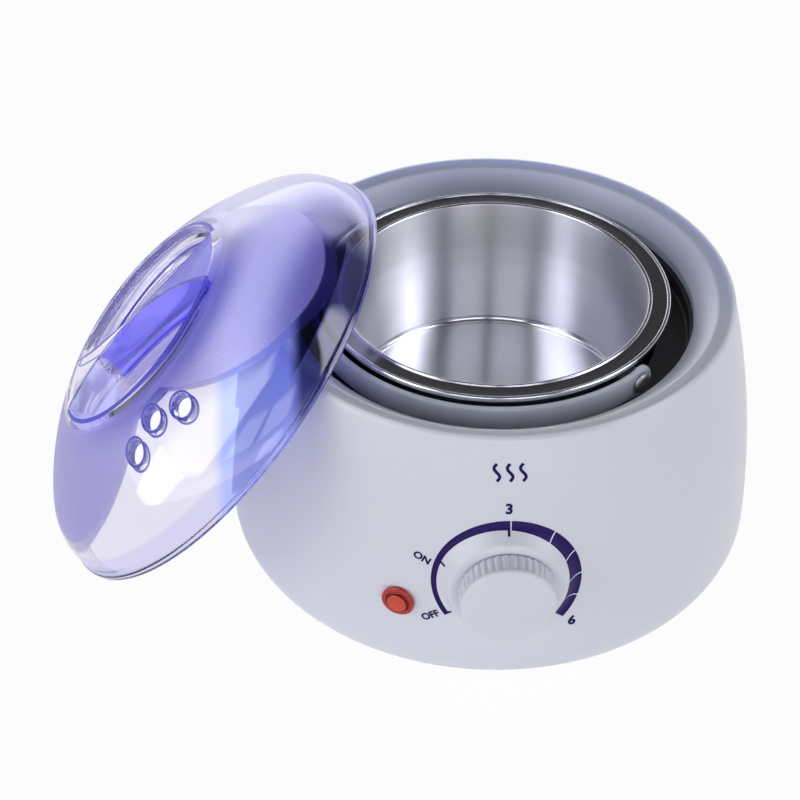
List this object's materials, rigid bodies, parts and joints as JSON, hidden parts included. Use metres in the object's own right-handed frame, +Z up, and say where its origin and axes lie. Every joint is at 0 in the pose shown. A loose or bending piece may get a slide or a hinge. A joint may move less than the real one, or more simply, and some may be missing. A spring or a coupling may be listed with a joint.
{
  "type": "wax melter",
  "caption": "Round electric wax melter: white moulded housing with dial and lamp, lift-out metal pot with a strap bail, and a tinted domed lid leaning on it.",
  "frame": {"origin": "on the table, under the middle of the round housing", "axes": "+Z up, -Y towards the dial, +X to the right of someone facing the dial; the lid leans on the housing at -X"},
  "size_m": [0.2028, 0.1624, 0.1038],
  "materials": {
    "housing_plastic": "smooth satin white with a cool tint",
    "base_plastic": "matt white",
    "well_black": "satin black heat-proof coating",
    "plate_metal": "plain cast",
    "element_metal": "dull",
    "pad_fibre": "pressed fibre",
    "steel": "plated",
    "brass": "turned",
    "pot_aluminium": "spun and polished",
    "bail_plastic": "translucent grey",
    "knob_plastic": "smooth white",
    "thermostat_case": "moulded black",
    "lens_red": "clear red",
    "lamp_glass": "clear",
    "inlet_plastic": "white",
    "block_plastic": "natural white",
    "lid_clear": "clear violet-blue with frosted fields",
    "foot_rubber": "soft pale rubber"
  },
  "bodies": {
    "base": {"outer_housing": "housing_plastic", "base_plate": "base_plastic", "heating_well": "well_black", "heater_plate": "plate_metal", "heating_element": "element_metal", "insulation_pad": "pad_fibre", "heater_retainer": "steel", "thermostat_bush": "brass", "bush_nut": "brass", "thermostat_body": "thermostat_case", "thermostat_bracket": "steel", "indicator_lens": "lens_red", "indicator_holder": "base_plastic", "neon_lamp": "lamp_glass", "cord_inlet_bush": "inlet_plastic", "inlet_nut": "inlet_plastic", "terminal_block": "block_plastic", "cord_clamp": "base_plastic", "thermal_fuse": "steel", "fuse_clip": "thermostat_case", "rubber_foot_1": "foot_rubber", "rubber_foot_2": "foot_rubber", "rubber_foot_3": "foot_rubber", "rubber_foot_4": "foot_rubber", "base_screws": "steel", "well_screws": "steel", "stack_screws": "steel", "bracket_screws": "steel", "terminal_screws": "brass"},
    "lid": {"lid_shell": "lid_clear"},
    "pot": {"wax_pot": "pot_aluminium", "bail_stud_right": "steel", "bail_stud_left": "steel"},
    "bail": {"bail_handle": "bail_plastic"},
    "knob": {"control_knob": "knob_plastic", "knob_shaft": "brass"}
  },
  "joints": [
    {"name": "lid_lift", "type": "slide", "parent": "base", "child": "lid", "axis": [-0.7429, 0.0195, 0.6691], "range_m": [0, 0.12]},
    {"name": "pot_lift", "type": "slide", "parent": "base", "child": "pot", "axis": [0, 0, 1], "range_m": [0, 0.06]},
    {"name": "bail_swing", "type": "hinge", "parent": "pot", "child": "bail", "pos_m": [0, 0, 0.0751], "axis": [-0.7254, 0.6884, 0], "range_deg": [0, 178]},
    {"name": "knob_turn", "type": "hinge", "parent": "base", "child": "knob", "pos_m": [0, -0.076, 0.0383], "axis": [0, 1, 0], "range_deg": [0, 256]}
  ],
  "couplings": [
    {"joint": "pot_lift", "follows": "lid_lift", "ratio": 0.5},
    {"joint": "bail_swing", "follows": "lid_lift", "rad_per_m": 25.8}
  ]
}
